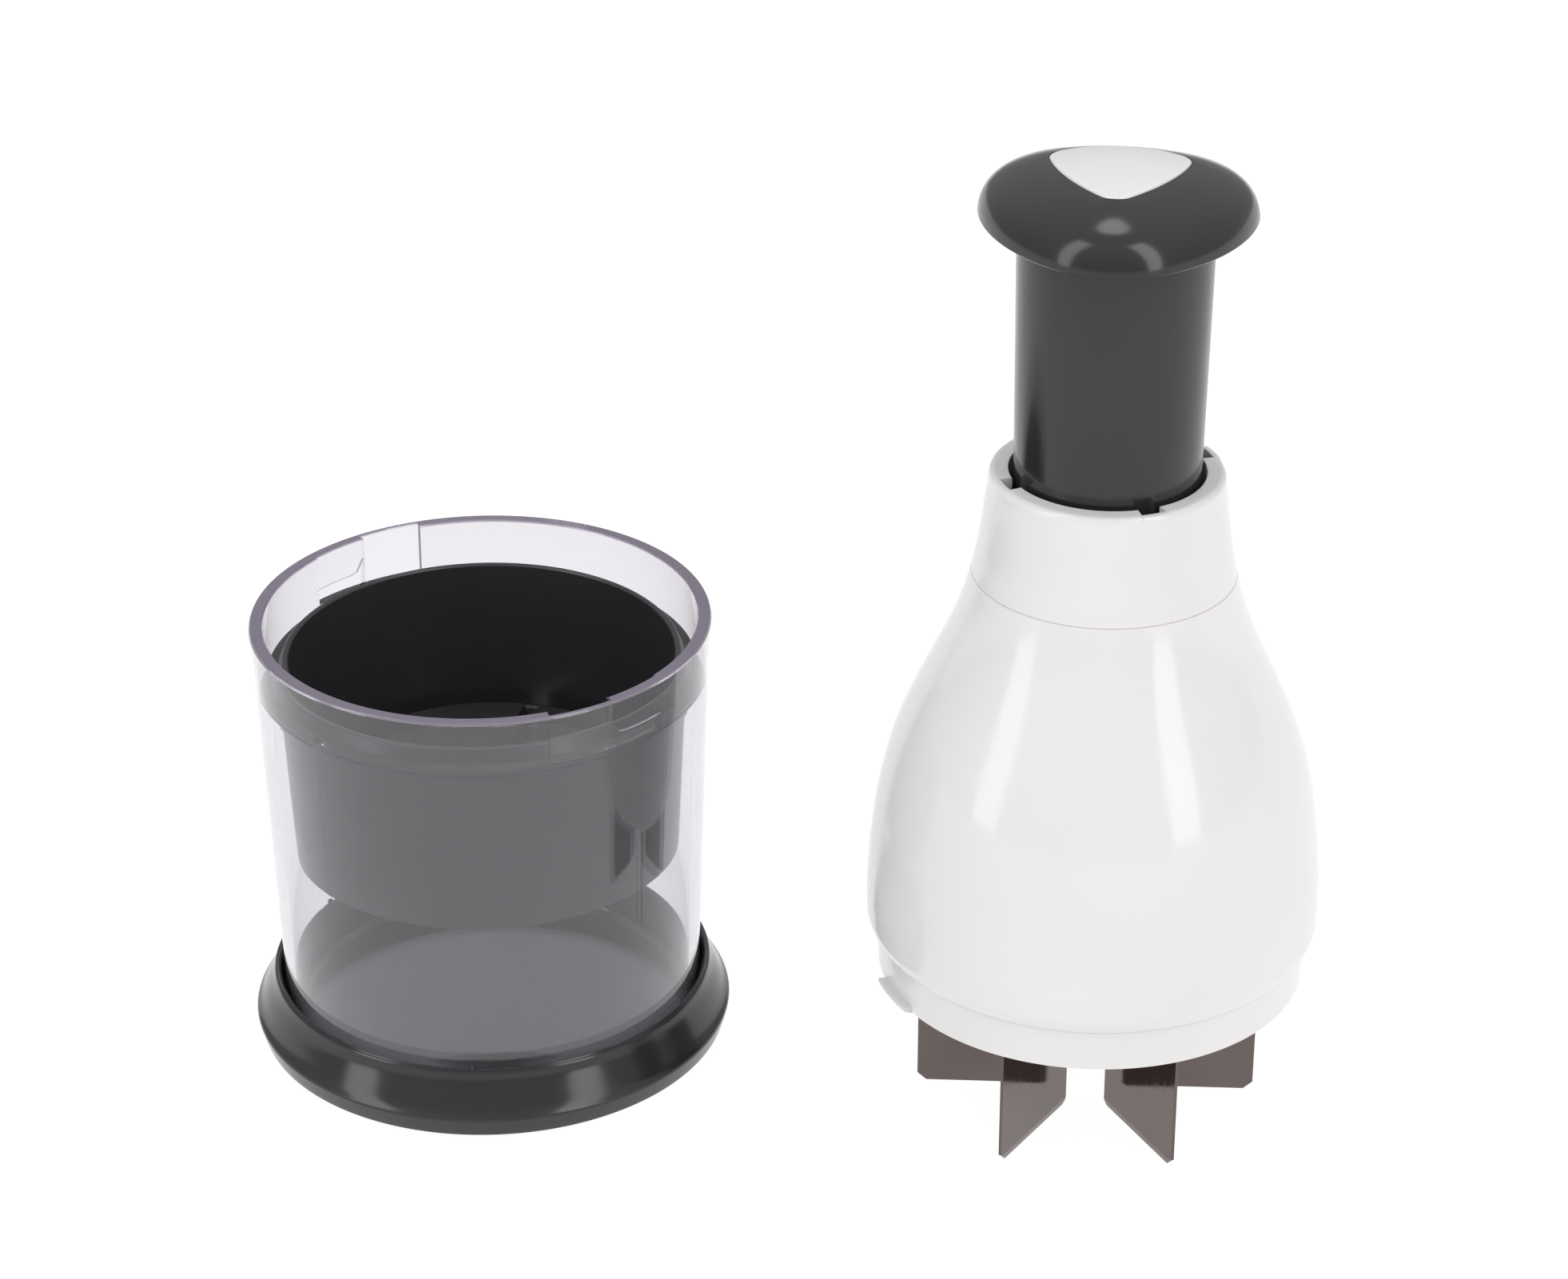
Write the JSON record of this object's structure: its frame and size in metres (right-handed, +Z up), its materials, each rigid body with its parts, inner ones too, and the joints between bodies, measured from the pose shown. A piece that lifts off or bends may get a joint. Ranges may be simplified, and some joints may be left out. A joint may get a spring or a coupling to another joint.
{
  "type": "hand food chopper",
  "caption": "Manual push-down food chopper: spring-loaded head with radial blades, standing beside a clear container with a slotted guide cup on a dark base.",
  "frame": {"origin": "centre of the container group's foot, on the surface it stands on", "axes": "+Z up along the container's axis; +X from the container's axis to the chopping head's axis"},
  "size_m": [0.2135, 0.096, 0.195],
  "materials": {
    "soft_pad": "soft matt",
    "dark_gloss": "glossy moulded",
    "dark_satin": "satin moulded",
    "clear_plastic": "clear, polished",
    "white_gloss": "glossy moulded",
    "natural_plastic": "natural moulded",
    "fastener_steel": "bright zinc",
    "spring_steel": "drawn wire",
    "blade_steel": "fine ground"
  },
  "bodies": {
    "base": {"anti_slip_pad": "soft_pad", "base": "dark_gloss"},
    "container": {"container": "clear_plastic"},
    "guide_cup": {"guide_cup": "dark_satin"},
    "plunger": {"stem": "dark_gloss", "knob_cap": "dark_gloss", "knob_inlay": "white_gloss", "shaft": "fastener_steel", "shaft_screw_top": "fastener_steel", "blade_hub": "white_gloss", "shaft_screw_bottom": "fastener_steel", "stop_washer": "soft_pad", "vane_1": "blade_steel", "vane_2": "blade_steel", "vane_3": "blade_steel", "vane_4": "blade_steel", "vane_5": "blade_steel", "vane_6": "blade_steel"},
    "spring_cap": {"thrust_washer": "fastener_steel", "return_spring": "spring_steel"},
    "shell": {"skirt_ring": "white_gloss", "bell_housing": "white_gloss", "neck_collar": "white_gloss", "guide_plate": "natural_plastic", "plate_screws": "fastener_steel"}
  },
  "joints": [
    {"name": "container_lift", "type": "slide", "parent": "base", "child": "container", "axis": [0, 0, 1], "range_m": [0, 0.02]},
    {"name": "cup_lift", "type": "slide", "parent": "container", "child": "guide_cup", "axis": [0, 0, 1], "range_m": [0, 0.055]},
    {"name": "head_lift", "type": "slide", "parent": "base", "child": "plunger", "axis": [0, 0, 1], "range_m": [0, 0.1]},
    {"name": "knob_turn", "type": "hinge", "parent": "plunger", "child": "spring_cap", "pos_m": [0.1218, 0, 0.1806], "axis": [0, 0, 1], "continuous": true},
    {"name": "shell_slide", "type": "slide", "parent": "spring_cap", "child": "shell", "axis": [0, 0, 1], "range_m": [0, 0.045], "stiffness_N_per_m": 380, "springref_m": -0.028, "deforming": ["return_spring"]}
  ]
}
